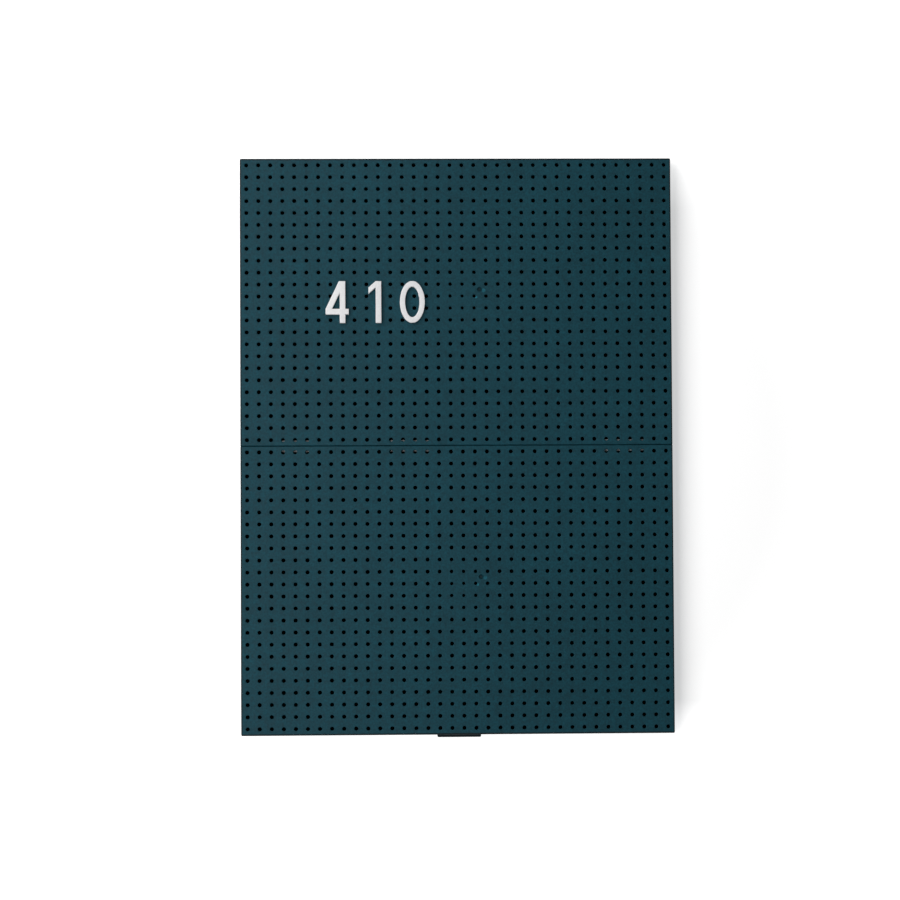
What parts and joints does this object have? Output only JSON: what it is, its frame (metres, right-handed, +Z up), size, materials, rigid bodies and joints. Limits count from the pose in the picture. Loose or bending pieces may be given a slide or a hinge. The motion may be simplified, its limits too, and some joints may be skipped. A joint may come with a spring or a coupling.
{
  "type": "message board",
  "caption": "Peg letter board: two perforated plastic panels clipped edge to edge, with push-in numerals, hung on a wall by its top edge.",
  "frame": {"origin": "middle of the overall box: half way across, between the numerals' faces and the wall, and between the top edge and the tongue's tip", "axes": "+Z up along the board's height, +X to the right of someone who reads it, -Y out of the face, +Y into the wall"},
  "size_m": [0.2292, 0.0138, 0.3072],
  "materials": {
    "teal_plastic": "fine matte moulded surface",
    "white_plastic": "plain moulded surface",
    "numeral_plastic": "satin moulded surface"
  },
  "bodies": {
    "root": {"upper_panel": "teal_plastic", "lower_panel": "teal_plastic", "joining_clip_left": "white_plastic", "joining_clip_middle": "white_plastic", "joining_clip_right": "white_plastic", "numeral_four": "numeral_plastic", "numeral_one": "numeral_plastic", "numeral_zero": "numeral_plastic"}
  },
  "joints": []
}
